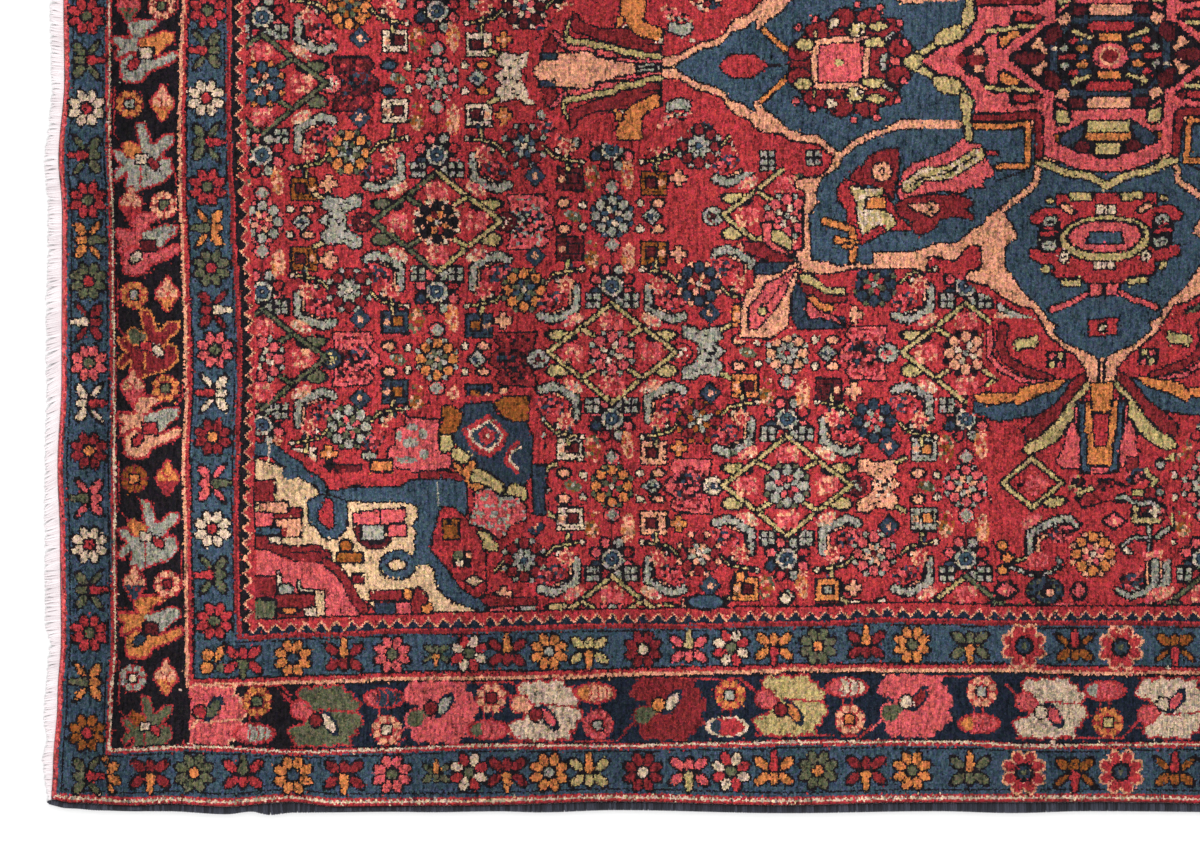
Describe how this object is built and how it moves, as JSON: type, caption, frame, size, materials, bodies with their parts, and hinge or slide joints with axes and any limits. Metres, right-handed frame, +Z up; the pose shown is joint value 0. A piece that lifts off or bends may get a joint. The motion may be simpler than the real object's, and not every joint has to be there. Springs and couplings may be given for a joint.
{
  "type": "turkish rug",
  "caption": "Hand-knotted wool rug lying flat, with a stepped medallion, wide borders, overcast side cords and a short fringe at each end.",
  "frame": {"origin": "on the floor under the rug's middle", "axes": "+X along the rug's length, +Y across it, +Z up from the floor through the pile"},
  "size_m": [1.9862, 1.4134, 0.0085],
  "materials": {
    "wool_pile": "matt knotted wool pile in crimson, navy, slate blue, camel and ivory, worn",
    "overcast_wool": "matt dark navy wool, overcast around the side cords",
    "warp_ends": "matt undyed off-white warp, flat-woven and cut to a short fringe"
  },
  "bodies": {
    "root": {"pile": "wool_pile", "selvedge_front": "overcast_wool", "selvedge_back": "overcast_wool", "fringe_left": "warp_ends", "fringe_right": "warp_ends"}
  },
  "joints": []
}
